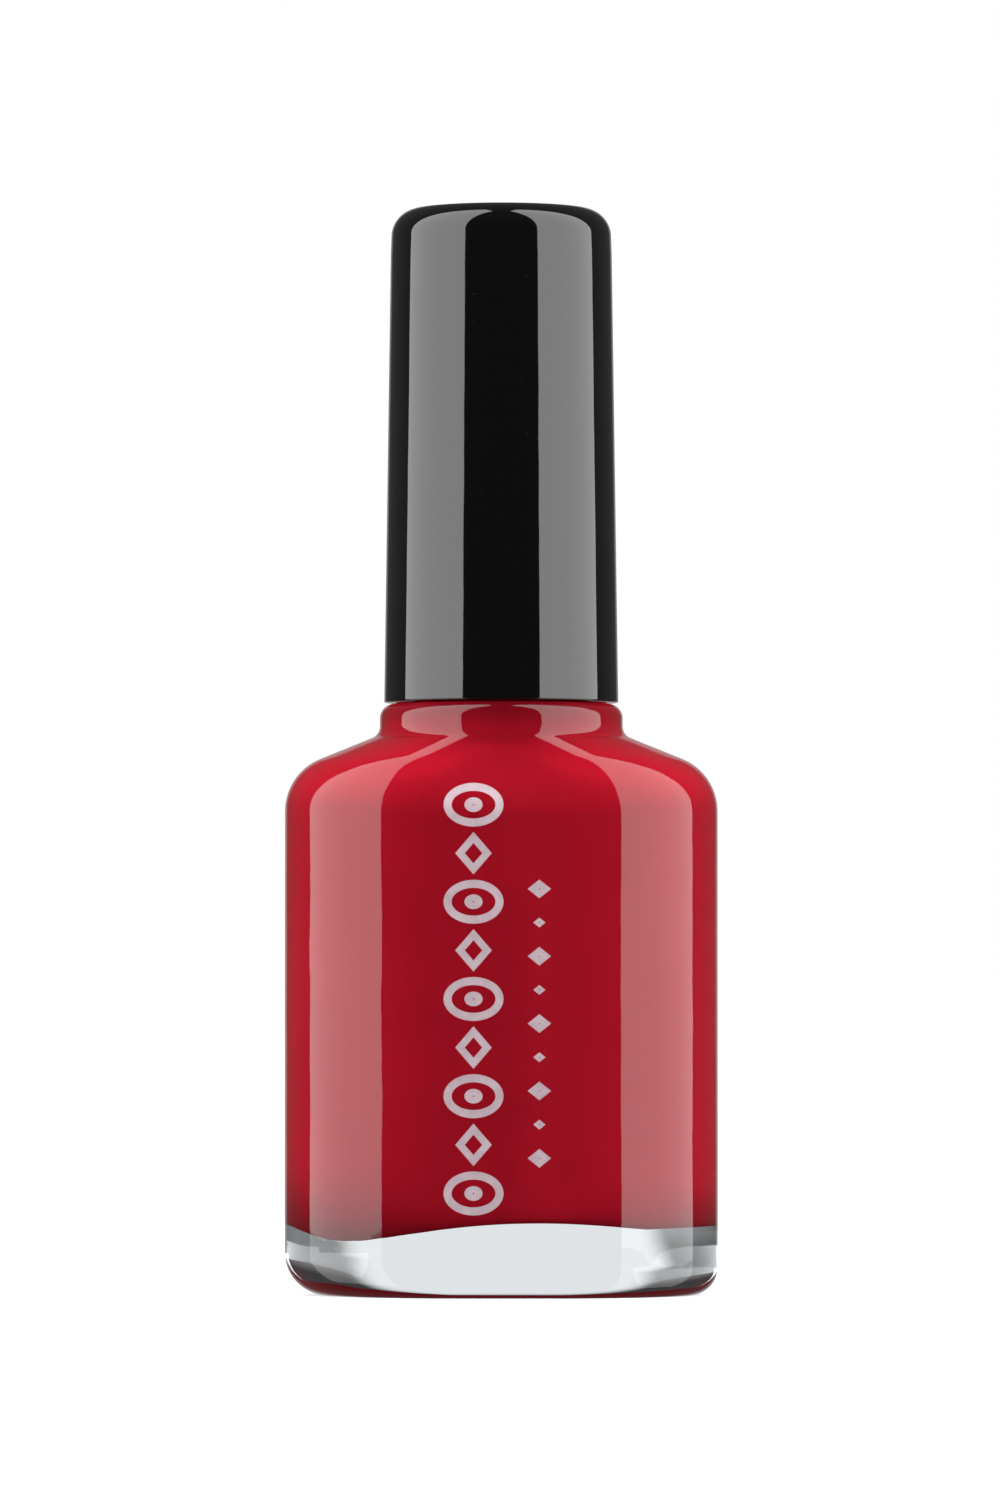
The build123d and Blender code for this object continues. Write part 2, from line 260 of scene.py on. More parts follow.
class Groups:
    """Effects that several finishes share, each built once."""

    made: dict[str, Tree] = {}

    @classmethod
    def build(cls, name: str, inputs: dict[str, float | Colour], outputs: Sequence[str],
              fill: Callable[[Nodes, Node, Node], None]) -> Tree:
        """Makes a group on its first use and hands out the same one after that.

        Args:
            name: Name of the group.
            inputs: Input names with their default numbers or colours.
            outputs: Output names; one that ends in Colour is a colour.
            fill: Lays the nodes between the group's input and output nodes.

        Returns:
            The group's node tree.
        """
        if name not in cls.made:
            tree = bpy.data.node_groups.new(name, "ShaderNodeTree")
            for label, value in inputs.items():
                kind = "NodeSocketColor" if isinstance(value, tuple) else "NodeSocketFloat"
                socket = tree.interface.new_socket(label, in_out="INPUT", socket_type=kind)
                socket.default_value = (*value, 1.0) if isinstance(value, tuple) else value
            for label in outputs:
                kind = "NodeSocketColor" if label.endswith("Colour") else "NodeSocketFloat"
                tree.interface.new_socket(label, in_out="OUTPUT", socket_type=kind)
            nodes = Nodes(tree)
            fill(nodes, nodes.add("NodeGroupInput"), nodes.add("NodeGroupOutput"))
            cls.made[name] = tree
        return cls.made[name]

    @classmethod
    def relief(cls) -> Tree:
        """Skin of a moulded part: fine grain over slow sink marks.

        Returns:
            The group's node tree.
        """

        def fill(n: Nodes, given: Node, out: Node) -> None:
            """Lays the nodes of the relief.

            Args:
                n: The group's nodes.
                given: Its input node.
                out: Its output node.
            """
            where = n.place()
            fine = n.noise(where, 9000.0, 3.0, 0.6)
            slow = n.noise(where, 260.0, 1.0)
            high = n.math("ADD", n.math("MULTIPLY", fine, given.outputs["Grain"]),
                          n.math("MULTIPLY", slow, given.outputs["Sink"]))
            n.link(high, out, "Height")

        return cls.build("moulded_relief", {"Grain": 0.5, "Sink": 0.5}, ["Height"], fill)

    @classmethod
    def handling(cls) -> Tree:
        """Traces of use: hairlines, faint smears and dust, as a roughness and a colour.

        Returns:
            The group's node tree.
        """

        def fill(n: Nodes, given: Node, out: Node) -> None:
            """Lays the nodes of the handling marks.

            Args:
                n: The group's nodes.
                given: Its input node.
                out: Its output node.
            """
            where = n.place()
            turned = n.add("ShaderNodeMapping", inputs={
                "Vector": where, "Rotation": (0.5, 0.35, 0.2), "Scale": (1.0, 1.0, 0.04)}).outputs[0]
            hair = n.ramp(n.noise(turned, 5200.0, 2.0, 0.7), 0.69, 0.74)
            smear = n.ramp(n.noise(where, 150.0, 4.0, 0.62), 0.42, 0.78)
            dust = n.ramp(n.noise(where, 7000.0, 1.0, 0.4), 0.74, 0.79)
            traces = n.math("ADD", n.math("MULTIPLY", hair, 0.35), n.math("MULTIPLY", smear, 0.5))
            amount = n.math("MULTIPLY", n.math("ADD", traces, dust), given.outputs["Amount"])
            n.link(n.math("ADD", given.outputs["Roughness"], amount, clamp=True), out, "Roughness")
            lit = n.math("MULTIPLY", dust, given.outputs["Dust"], clamp=True)
            n.link(n.mix(lit, given.outputs["Base"], (0.55, 0.54, 0.52)), out, "Colour")

        given = {"Base": (0.5, 0.5, 0.5), "Roughness": 0.1, "Amount": 0.1, "Dust": 0.1}
        return cls.build("handling_traces", given, ["Colour", "Roughness"], fill)

    @classmethod
    def wetting(cls) -> Tree:
        """Film of lacquer below a height, thinning out in runs above it.

        Returns:
            The group's node tree.
        """

        def fill(n: Nodes, given: Node, out: Node) -> None:
            """Lays the nodes of the film.

            Args:
                n: The group's nodes.
                given: Its input node.
                out: Its output node.
            """
            where = n.place()
            height = n.add("ShaderNodeSeparateXYZ", inputs={0: where}).outputs["Z"]
            runs = n.add("ShaderNodeMapping", inputs={"Vector": where, "Scale": (1.0, 1.0, 0.18)}).outputs[0]
            ragged = n.math("MULTIPLY", n.math("SUBTRACT", n.noise(runs, 1100.0), 0.5), 0.006)
            level = n.math("ADD", given.outputs["Level"], ragged)
            mask = n.ramp(n.math("SUBTRACT", level, height), -0.0002, 0.0004)
            n.link(mask, out, "Mask")
            n.link(n.mix(mask, given.outputs["Dry"], given.outputs["Wet"]), out, "Colour")

        given = {"Level": 0.04, "Dry": (0.02, 0.02, 0.02), "Wet": (0.4, 0.01, 0.02)}
        return cls.build("lacquer_film", given, ["Colour", "Mask"], fill)


class Finish:
    """Base of every finish: makes its material once and puts it on pieces."""

    name = "finish"

    def shade(self, n: Nodes, shader: Node) -> None:
        """Lays the finish's nodes in front of its Principled shader."""
        raise NotImplementedError

    def material(self) -> bpy.types.Material:
        """The finish's material, made on first use.

        Returns:
            The material, with a Principled shader and this finish's nodes.
        """
        label = f"finish_{self.name}"
        found = bpy.data.materials.get(label)
        if found:
            return found
        made = bpy.data.materials.new(label)
        made.use_nodes = True
        shader = made.node_tree.nodes["Principled BSDF"]
        self.shade(Nodes(made.node_tree), shader)
        return made

    def on(self, piece: Piece) -> None:
        """Replaces all of a piece's materials by this finish."""
        piece.data.materials.clear()
        piece.data.materials.append(self.material())


def group_node(n: Nodes, tree: Tree, **inputs: object) -> Node:
    """Places a shared group in a material with its own values."""
    values = {k: (*v, 1.0) if isinstance(v, tuple) else v for k, v in inputs.items()}
    return n.add("ShaderNodeGroup", node_tree=tree, inputs=values)


@dataclass(frozen=True)
class ClearGlass(Finish):
    """Flint glass, fire-polished, with the slow ripple of a blown mould.

    Light on its way to the lacquer goes straight through, so that no caustics are needed.
    """

    name: str = "flint_glass"
    tint: Colour = (0.79, 0.825, 0.845)
    index: float = 1.5
    ripple: float = 0.00004
    fine_share: float = 0.07
    traces: float = 0.012

    def shade(self, n: Nodes, shader: Node) -> None:
        """Lays the glass nodes and lets lamps through.

        Args:
            n: The material's nodes.
            shader: Its Principled shader.
        """
        n.put(shader, "Transmission Weight", 1.0)
        n.put(shader, "IOR", self.index)
        where = n.place()
        n.put(shader, "Base Color", (*self.tint, 1.0))
        traces = group_node(n, Groups.handling(), Roughness=0.0, Amount=self.traces)
        n.link(traces.outputs["Roughness"], shader, "Roughness")
        waves = n.math("ADD", n.noise(where, 190.0, 1.0, 0.3),
                       n.math("MULTIPLY", n.noise(where, 850.0, 1.0, 0.4), self.fine_share))
        n.bump(shader, waves, self.ripple)
        path = n.add("ShaderNodeLightPath").outputs
        through = n.add("ShaderNodeBsdfTransparent", inputs={"Color": (*self.tint, 1.0)}).outputs[0]
        passing = n.math("MAXIMUM", path["Is Shadow Ray"], path["Is Diffuse Ray"])
        n.surface(n.layer(passing, shader.outputs[0], through))


@dataclass(frozen=True)
class Lacquer(Finish):
    """Opaque red lacquer with a little body to it."""

    name: str = "red_lacquer"
    deep: Colour = (0.455, 0.0062, 0.0180)
    bright: Colour = (0.500, 0.0075, 0.0210)
    roughness: float = 0.6

    def shade(self, n: Nodes, shader: Node) -> None:
        """Lays the slow streaks of pigment.

        Args:
            n: The material's nodes.
            shader: Its Principled shader.
        """
        where = n.place()
        streak = n.add("ShaderNodeMapping", inputs={"Vector": where, "Scale": (1.0, 1.0, 0.3)}).outputs[0]
        settled = n.ramp(n.noise(streak, 160.0, 3.0, 0.55), 0.3, 0.7)
        n.link(n.mix(settled, self.deep, self.bright), shader, "Base Color")
        n.put(shader, "Roughness", self.roughness)
        n.put(shader, "Specular IOR Level", 0.0)


@dataclass(frozen=True)
class Moulded(Finish):
    """Injection-moulded plastic, from piano gloss to satin."""

    name: str = "shell_plastic"
    base: Colour = (0.0030, 0.0030, 0.0033)
    index: float = 1.5
    roughness: float = 0.035
    grain: float = 0.0
    sink: float = 1.0
    relief: float = 0.000012
    traces: float = 0.02
    dust: float = 0.03

    def shade(self, n: Nodes, shader: Node) -> None:
        """Lays handling traces over the moulded relief.

        Args:
            n: The material's nodes.
            shader: Its Principled shader.
        """
        n.put(shader, "IOR", self.index)
        traces = group_node(n, Groups.handling(), Base=self.base, Roughness=self.roughness,
                            Amount=self.traces, Dust=self.dust)
        if self.dust:
            n.link(traces.outputs["Colour"], shader, "Base Color")
        else:
            n.put(shader, "Base Color", (*self.base, 1.0))
        n.link(traces.outputs["Roughness"], shader, "Roughness")
        relief = group_node(n, Groups.relief(), Grain=self.grain, Sink=self.sink)
        n.bump(shader, relief.outputs["Height"], self.relief)


@dataclass(frozen=True)
class Dipped(Finish):
    """Material that has stood in the lacquer: dry above a level, wet and red below it."""

    name: str = "stem_plastic"
    dry: Colour = (0.012, 0.012, 0.013)
    wet: Colour = (0.30, 0.005, 0.012)
    level: float = 0.036
    dry_roughness: float = 0.32
    wet_roughness: float = 0.09
    grain: float = 0.6
    sink: float = 0.8
    relief: float = 0.00001

    def shade(self, n: Nodes, shader: Node) -> None:
        """Lays the film over the dry material.

        Args:
            n: The material's nodes.
            shader: Its Principled shader.
        """
        film = group_node(n, Groups.wetting(), Level=self.level, Dry=self.dry, Wet=self.wet)
        n.link(film.outputs["Colour"], shader, "Base Color")
        rough = n.ramp(film.outputs["Mask"], 0.0, 1.0, (self.dry_roughness, self.wet_roughness))
        n.link(rough, shader, "Roughness")
        relief = group_node(n, Groups.relief(), Grain=self.grain, Sink=self.sink)
        n.bump(shader, relief.outputs["Height"], self.relief)


@dataclass(frozen=True)
class Steel(Finish):
    """Stainless steel, ground or drawn."""

    name: str = "ball_steel"
    base: Colour = (0.60, 0.60, 0.61)
    roughness: float = 0.12
    grinding: float = 0.05

    def shade(self, n: Nodes, shader: Node) -> None:
        """Lays grinding marks in the roughness.

        Args:
            n: The material's nodes.
            shader: Its Principled shader.
        """
        n.put(shader, "Metallic", 1.0)
        n.put(shader, "Base Color", (*self.base, 1.0))
        traces = group_node(n, Groups.handling(), Roughness=self.roughness, Amount=self.grinding)
        n.link(traces.outputs["Roughness"], shader, "Roughness")


@dataclass(frozen=True)
class Foam(Finish):
    """Closed-cell liner foam with its small pores."""

    name: str = "liner_foam"
    base: Colour = (0.80, 0.80, 0.77)
    pore_shade: Colour = (0.55, 0.55, 0.52)
    cell_scale: float = 6500.0
    pore_depth: float = 0.00003
    roughness: float = 0.85

    def shade(self, n: Nodes, shader: Node) -> None:
        """Lays the cells as bump, and darkens the pores with painted shade.

        Args:
            n: The material's nodes.
            shader: Its Principled shader.
        """
        where = n.place()
        cells = n.add("ShaderNodeTexVoronoi", inputs={"Vector": where, "Scale": self.cell_scale})
        pores = n.ramp(cells.outputs["Distance"], 0.05, 0.45)
        # painted shade: the sunk pores are darkened in colour, standing in for the shade inside them
        n.link(n.mix(pores, self.pore_shade, self.base), shader, "Base Color")
        n.put(shader, "Roughness", self.roughness)
        n.bump(shader, pores, self.pore_depth)


@dataclass(frozen=True)
class Ink(Finish):
    """Pale metallic print, slightly broken in cover as screen print is."""

    name: str = "foil_print"
    base: Colour = (0.70, 0.55, 0.60)
    shade_colour: Colour = (0.60, 0.46, 0.51)
    metallic: float = 0.25
    roughness: Pair = (0.38, 0.6)
    relief: float = 0.000004

    def shade(self, n: Nodes, shader: Node) -> None:
        """Lays the uneven cover of the print.

        Args:
            n: The material's nodes.
            shader: Its Principled shader.
        """
        where = n.place()
        cover = n.ramp(n.noise(where, 900.0, 4.0, 0.6), 0.35, 0.65)
        n.link(n.mix(cover, self.shade_colour, self.base), shader, "Base Color")
        fine = n.noise(where, 12000.0, 2.0, 0.6)
        n.link(n.ramp(fine, 0.2, 0.8, self.roughness), shader, "Roughness")
        n.put(shader, "Metallic", self.metallic)
        n.bump(shader, fine, self.relief)


# ---- the bottle
@dataclass
class Vessel:
    """Shape of the glass bottle, outside and inside, in millimetres."""

    around: int = 240
    wall: float = 1.8
    straight: float = 33.5
    corner: float = 3.9
    slope: float = math.radians(22.0)
    face_start: float = 32.9
    face_end: float = 39.5
    heel: tuple[float, float, float] = (2.9, 1.9, 0.8)
    collar: float = 8.42
    collar_height: float = 2.15
    collar_wall: float = 1.7
    collar_round: float = 1.0
    root: float = 0.9
    bore: float = 3.35
    throat_drop: float = 0.75
    bore_lead: float = 1.15
    neck: float = 5.72
    rim_round: float = 0.4
    neck_root: float = 0.45
    floor_peak: float = 5.15
    floor_peak_x: float = 2.5
    floor_curve: float = 50.0
    floor_low: float = 3.55
    floor_shelf: float = 4.8
    floor_round: tuple[float, float, float] = (5.5, 4.5, 2.4)
    recess: Pair = (10.5, 5.5)
    recess_height: float = 0.7
    recess_round: float = 0.5
    pitch: float = 2.12
    turns: float = 1.5
    crest: float = 6.45
    below_rim: float = 1.5
    foot_width: float = 1.05
    crest_width: float = 0.5
    fill_below: float = 0.05
    wetting: float = 0.03
    bore_edge: float = 0.3
    crown: float = 0.12
    recess_lip: float = 0.14
    half_width: float = field(init=False)
    half_depth: float = field(init=False)
    rim: float = field(init=False)
    angles: np.ndarray = field(init=False)

    def __post_init__(self) -> None:
        """Takes the overall sizes from the frame's glass node."""
        low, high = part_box("glass_bottle")
        self.half_width = round(high.x / MM, 1)
        self.half_depth = round(high.y / MM, 1)
        self.rim = high.z / MM
        self.angles = turn(self.around)

    def meet(self, width: float, corner: float, top: float) -> float:
        """Height where the shoulder line meets a vertical.

        Args:
            width: Half width below the shoulder.
            corner: Radius of the round-over.
            top: Radius of the vertical.

        Returns:
            The height.
        """
        start = width - corner * (1 - math.sin(self.slope))
        rise = (start - top) * math.tan(self.slope)
        return self.straight + corner * math.cos(self.slope) + rise

    @property
    def collar_top(self) -> float:
        """Height of the collar's top face."""
        return self.meet(self.half_width, self.corner, self.collar) + self.collar_height

    @property
    def fill(self) -> float:
        """Height of the lacquer's surface."""
        return self.collar_top - self.fill_below

    def side(self, z: float, width: float, corner: float, top: float) -> float:
        """Half width of the shoulder at a height.

        Args:
            z: Height.
            width: Half width below the shoulder.
            corner: Radius of the round-over.
            top: Radius above the shoulder.

        Returns:
            The half width.
        """
        arc_end = self.straight + corner * math.cos(self.slope)
        meet = self.meet(width, corner, top)
        blend = self.root * math.tan((math.pi / 2 - self.slope) / 2)
        if z <= self.straight:
            return width
        if z <= arc_end:
            return width - corner + corner * math.cos(math.asin((z - self.straight) / corner))
        if z <= meet - blend * math.sin(self.slope):
            return width - corner * (1 - math.sin(self.slope)) - (z - arc_end) / math.tan(self.slope)
        if z >= meet + blend:
            return top
        return top + self.root - math.sqrt(self.root**2 - (meet + blend - z) ** 2)

    def front(self, z: float, depth: float, top: float) -> float:
        """Half depth at a height: one slow S from a half depth to the radius on top."""
        return depth + (top - depth) * smooth((z - self.face_start) / (self.face_end - self.face_start))

    def ring(self, width: float, depth: float, z: float) -> np.ndarray:
        """One level ring of the obround section.

        Args:
            width: Half width.
            depth: Half depth.
            z: Height.

        Returns:
            The ring's points.
        """
        depth = min(depth, width)
        spare = width - depth
        across, along = np.abs(np.cos(self.angles)), np.abs(np.sin(self.angles))
        reach = spare * across + np.sqrt(np.maximum(depth**2 - (spare * along) ** 2, 0.0))
        flat = across * depth < spare * along
        reach = np.where(flat, depth / np.maximum(along, 1e-9), reach)
        return level_ring(self.angles, reach, z)

    def rounds(self, outline: Outline) -> Rings:
        """Round rings along an outline of radius and height."""
        return [self.ring(r, r, z) for r, z in outline]

    def rounded(self, width: float, depth: float, radii: tuple[float, float, float],
                rise: float, z: float) -> np.ndarray:
        """Ring of a round-over that starts from a flat.

        Args:
            width: Half width above the round-over.
            depth: Half depth above the round-over.
            radii: Radius at the left end, at the right end and along the faces.
            rise: Height above the flat.
            z: Height of the ring.

        Returns:
            The ring's points.
        """
        left, right, face = (r - math.sqrt(r**2 - max(r - rise, 0.0) ** 2) for r in radii)
        ring = self.ring(width - (left + right) / 2, depth - face, z)
        ring[:, 0] += (left - right) / 2
        return ring

    def levels(self, width: float, corner: float, top: float, count: int) -> list[float]:
        """Heights through the shoulder, close together where it bends.

        Args:
            width: Half width below the shoulder.
            corner: Radius of the round-over.
            top: Radius above the shoulder.
            count: Number of heights in each of the shoulder's bends.

        Returns:
            The heights, going up.
        """
        arc_end = self.straight + corner * math.cos(self.slope)
        meet = self.meet(width, corner, top)
        lean = [self.face_start + (self.straight - self.face_start) * i / 4 for i in range(4)]
        bend = [self.straight + corner * math.sin(math.radians(68.0 * i / count)) for i in range(count)]
        line_end = meet - self.root * 0.25
        line = [arc_end + (line_end - arc_end) * i / count for i in range(count)]
        last = meet + self.root * 1.05
        root = [line_end + (last - line_end) * i / count for i in range(count + 1)]
        return lean + bend + line + root

    def shoulder(self, width: float, depth: float, corner: float, top: float, count: int) -> Rings:
        """Rings through the shoulder, going up."""
        return [self.ring(self.side(z, width, corner, top), self.front(z, depth, top), z)
                for z in self.levels(width, corner, top, count)]

    def floor_height(self, points: np.ndarray) -> np.ndarray:
        """Height of the floor under points: a hump across the bottle, low on the left.

        Args:
            points: The points.

        Returns:
            The height at each point.
        """
        out = (points[:, 0] - self.floor_peak_x) ** 2
        hump = self.floor_peak - self.floor_curve + np.sqrt(self.floor_curve**2 - out)
        along = points[:, 0] / (2 * self.half_width) + 0.5
        shelf = self.floor_low + (self.floor_shelf - self.floor_low) * smooth(along)
        return np.maximum(hump, shelf)

    def underside(self) -> Rings:
        """Rings of the base, from the middle of the recess out to the heel.

        Returns:
            The rings, going outwards.
        """
        wide, deep = self.recess
        rings = [self.ring(wide * f, deep * f, self.recess_height + self.crown * (1 - f * f))
                 for f in (0.08, 0.2, 0.35, 0.5, 0.65, 0.8, 0.9)]
        bend, lip = self.recess_round, self.recess_lip
        edge = arc((-bend, self.recess_height - bend), bend, 90, 8, 8) + arc((lip, lip), lip, 180, 270, 5)
        rings += [self.ring(wide + r, deep + r, z) for r, z in edge]
        inner = self.ring(wide + 0.2, deep + 0.2, 0.0)
        outer = self.rounded(self.half_width, self.half_depth, self.heel, 0.0, 0.0)
        rings += [inner + (outer - inner) * i / 6 for i in range(1, 6)]
        for rise in self.rises(self.heel):
            rings.append(self.rounded(self.half_width, self.half_depth, self.heel, rise, rise))
        return rings

    def rises(self, radii: tuple[float, float, float]) -> list[float]:
        """Heights up a round-over, close together at the foot of its tight and its wide radius.

        Args:
            radii: Radii of the round-over.

        Returns:
            The heights, going up.
        """
        tight, wide = min(radii), max(radii)
        low = [tight * (1 - math.cos(math.radians(a))) for a in range(0, 90, 10)]
        high = [wide * (1 - math.cos(math.radians(a))) for a in range(30, 91, 4)]
        return low + [z for z in high if z > tight]

    def outside(self) -> Rings:
        """Rings from the heel up to the collar's top face.

        Returns:
            The rings, going up.
        """
        rings = []
        low, high = max(self.heel), self.face_start
        for i in range(1, 24):
            rings.append(self.ring(self.half_width, self.half_depth, low + (high - low) * i / 24))
        rings += self.shoulder(self.half_width, self.half_depth, self.corner, self.collar, 16)
        top, bend = self.collar_top, self.collar_round
        return rings + self.rounds(arc((self.collar - bend, top - bend), bend, 0, 90, 9))

    def neck_radius(self, z: float) -> np.ndarray:
        """Radius round the neck at a height, with the thread and its run-outs.

        Args:
            z: Height.

        Returns:
            The radius at each angle.
        """
        low = self.rim - self.below_rim - self.pitch * self.turns
        radius = np.full(self.around, self.neck)
        for lap in range(math.ceil(self.turns)):
            total = self.angles + 2 * math.pi * lap
            centre = low + self.pitch * total / (2 * math.pi)
            end = 2 * math.pi * self.turns
            fade = np.clip(np.minimum(total, end - total) / 0.35, 0.0, 1.0)
            edge = (self.foot_width / 2 - np.abs(z - centre)) / ((self.foot_width - self.crest_width) / 2)
            radius = np.maximum(radius, self.neck + (self.crest - self.neck) * (smooth(edge) * fade))
        return radius

    def neck_skin(self) -> Rings:
        """Rings from the collar's top face over the threaded neck and the rim into the bore.

        Returns:
            The rings, in that order.
        """
        low, high = self.collar_top + self.neck_root, self.rim - self.rim_round
        rings = self.rounds(arc((self.neck + self.neck_root, low), self.neck_root, 270, 180, 6))
        count = 120
        for z in (low + (high - low) * i / count for i in range(1, count)):
            rings.append(level_ring(self.angles, self.neck_radius(z), z))
        edge = self.bore_edge
        rings += self.rounds(arc((self.neck - self.rim_round, high), self.rim_round, 0, 90, 7))
        return rings + self.rounds(arc((self.bore + edge, self.rim - edge), edge, 90, 180, 6))

    def throat(self, grow: float) -> list[Pair]:
        """Radius and height from the foot of the bore down to the inner shoulder.

        Args:
            grow: Outward shift of the surface.

        Returns:
            The outline, going down.
        """
        top = self.collar - self.collar_wall + grow
        bore = self.bore + grow
        start, end = self.collar_top - self.throat_drop, self.collar_top + self.bore_lead
        return [(top + (bore - top) * smooth(u), start + (end - start) * u)
                for u in (1 - i / 18 for i in range(19))]

    def inside(self, grow: float = 0.0) -> Rings:
        """Rings from the top of the inner shoulder down the wall and over the floor.

        Args:
            grow: Outward shift of the surface.

        Returns:
            The rings, going down.
        """
        width = self.half_width - self.wall + grow
        depth = self.half_depth - self.wall + grow
        corner = self.corner - self.wall
        top = self.collar - self.collar_wall + grow
        rings = self.shoulder(width, depth, corner, top, 12)[::-1]
        base = self.floor_low - grow
        high, low = self.face_start, base + max(self.floor_round)
        for i in range(1, 14):
            rings.append(self.ring(width, depth, high + (low - high) * i / 14))
        floor = [self.rounded(width, depth, self.floor_round, rise, base + rise)
                 for rise in self.rises(self.floor_round)[::-1]]
        floor += [floor[-1] * (f, f, 1.0) for f in (0.9, 0.78, 0.64, 0.5, 0.36, 0.22, 0.1)]
        for ring in floor:
            ring[:, 2] = np.maximum(ring[:, 2], self.floor_height(ring) - grow)
        return rings + floor

    def glass(self) -> Piece:
        """Mesh of the glass, outside, neck, bore and cavity in one closed skin.

        Returns:
            The glass, which rides on the bottle.
        """
        rings = self.underside() + self.outside() + self.neck_skin()
        bore_low = self.collar_top + self.bore_lead
        for i in range(1, 10):
            z = self.rim - self.bore_edge + (bore_low - self.rim + self.bore_edge) * i / 10
            rings.append(self.ring(self.bore, self.bore, z))
        rings += self.rounds(self.throat(0.0)[:-1])
        rings += self.inside()
        start = np.array([0.0, 0.0, self.recess_height + self.crown])
        end = np.array([0.0, 0.0, self.floor_height(np.zeros((1, 3)))[0]])
        piece = skin("bottle_glass", rings, start, end)
        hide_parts("glass_bottle")
        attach(piece, Body.BOTTLE.value)
        ClearGlass().on(piece)
        return piece

    def liquid(self) -> Piece:
        """Mesh of the lacquer, which wets the glass a hair deep so that no air shows between.

        Returns:
            The lacquer, which rides on the bottle.
        """
        grow = self.wetting
        rings = [ring for ring in self.inside(grow) if ring[0, 2] < self.fill][::-1]
        rings += [self.ring(r, r, z) for r, z in self.throat(grow)[::-1][1:] if z < self.fill - 0.15]
        edge = rings[-1][0, 0]
        for f, lift in ((0.97, 0.10), (0.93, 0.04), (0.86, 0.01), (0.7, 0.0), (0.45, 0.0), (0.2, 0.0)):
            rings.append(self.ring(edge * f, edge * f, self.fill - 0.1 + lift))
        start = np.array([0.0, 0.0, self.floor_height(np.zeros((1, 3)))[0] - grow])
        piece = skin("lacquer_fill", rings, start, np.array([0.0, 0.0, self.fill - 0.1]))
        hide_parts("lacquer")
        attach(piece, Body.BOTTLE.value)
        Lacquer().on(piece)
        return piece

    def face_depth(self, z: float) -> float:
        """Distance of the front face from the middle plane at a height."""
        return self.front(z, self.half_depth, self.collar)


@dataclass
class Print:
    """Ornament printed up the front: rings and lozenges beside a row of small lozenges."""

    vessel: Vessel
    thickness: float = 0.02
    large_x: float = -1.9
    small_x: float = 2.6
    large_low: float = 7.2
    large_pitch: float = 3.32
    large_count: int = 9
    ring: tuple[Pair, Pair] = ((2.05, 1.5), (1.5, 0.95))
    dot: tuple[Pair, Pair] = ((0.62, 0.5), (0.05, 0.05))
    lozenge: tuple[Pair, Pair] = ((1.25, 1.45), (0.6, 0.7))
    small_low: float = 9.6
    small_pitch: float = 2.3
    small_count: int = 9
    small_sizes: Pair = (0.8, 0.42)
    small_flatness: float = 0.8
    small_hole: Pair = (0.06, 0.05)
    outline_count: int = 48
    sunk: float = 0.004
    points: list[tuple[float, float, float]] = field(default_factory=list)
    faces: Faces = field(default_factory=list)

    def loop(self, x: float, z: float, size: Pair, pointed: bool) -> Outline:
        """Closed outline round a centre, an ellipse or, when pointed, a lozenge.

        Args:
            x: Place of the centre across the front.
            z: Height of the centre.
            size: Half width and half height.
            pointed: Whether it is a lozenge.

        Returns:
            The outline.
        """
        out = []
        for i in range(self.outline_count):
            a = 2 * math.pi * i / self.outline_count
            reach = 1 / (abs(math.cos(a)) + abs(math.sin(a))) if pointed else 1.0
            out.append((x + size[0] * reach * math.cos(a), z + size[1] * reach * math.sin(a)))
        return out

    def mark(self, x: float, z: float, sizes: tuple[Pair, Pair], pointed: bool = False) -> None:
        """Adds one printed mark with a hole in its middle."""
        self.band(self.loop(x, z, sizes[0], pointed), self.loop(x, z, sizes[1], pointed))

    def band(self, outer: Outline, inner: Outline) -> None:
        """Adds a thin closed band of print between two outlines of equal count.

        Args:
            outer: Outer outline.
            inner: Outline of the hole.
        """
        count = len(outer)
        first = len(self.points)
        for lift in (self.sunk, self.thickness):
            for x, z in outer + inner:
                self.points.append((x, -self.vessel.face_depth(z) - lift, z))
        for i in range(count):
            k = (i + 1) % count
            o, p, q, r = first + i, first + k, first + count + k, first + count + i
            lift = 2 * count
            self.faces.append((o + lift, p + lift, q + lift, r + lift))
            self.faces.append((r, q, p, o))
            self.faces.append((o, p, p + lift, o + lift))
            self.faces.append((q, r, r + lift, q + lift))

    def make(self) -> Piece:
        """Builds the ornament on the front face.

        Returns:
            The print as one piece that rides on the bottle.
        """
        for i in range(self.large_count):
            z = self.large_low + self.large_pitch * i
            if i % 2:
                self.mark(self.large_x, z, self.lozenge, pointed=True)
            else:
                self.mark(self.large_x, z, self.ring)
                self.mark(self.large_x, z, self.dot)
        for i in range(self.small_count):
            size = self.small_sizes[i % 2]
            self.mark(self.small_x, self.small_low + self.small_pitch * i,
                      ((size, size * self.small_flatness), self.small_hole), pointed=True)
        piece = mesh_object("front_ornament", metres(np.array(self.points)), self.faces)
        piece.data.polygons.foreach_set("use_smooth", [False] * len(piece.data.polygons))
        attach(piece, Body.BOTTLE.value)
        Ink().on(piece)
        return piece


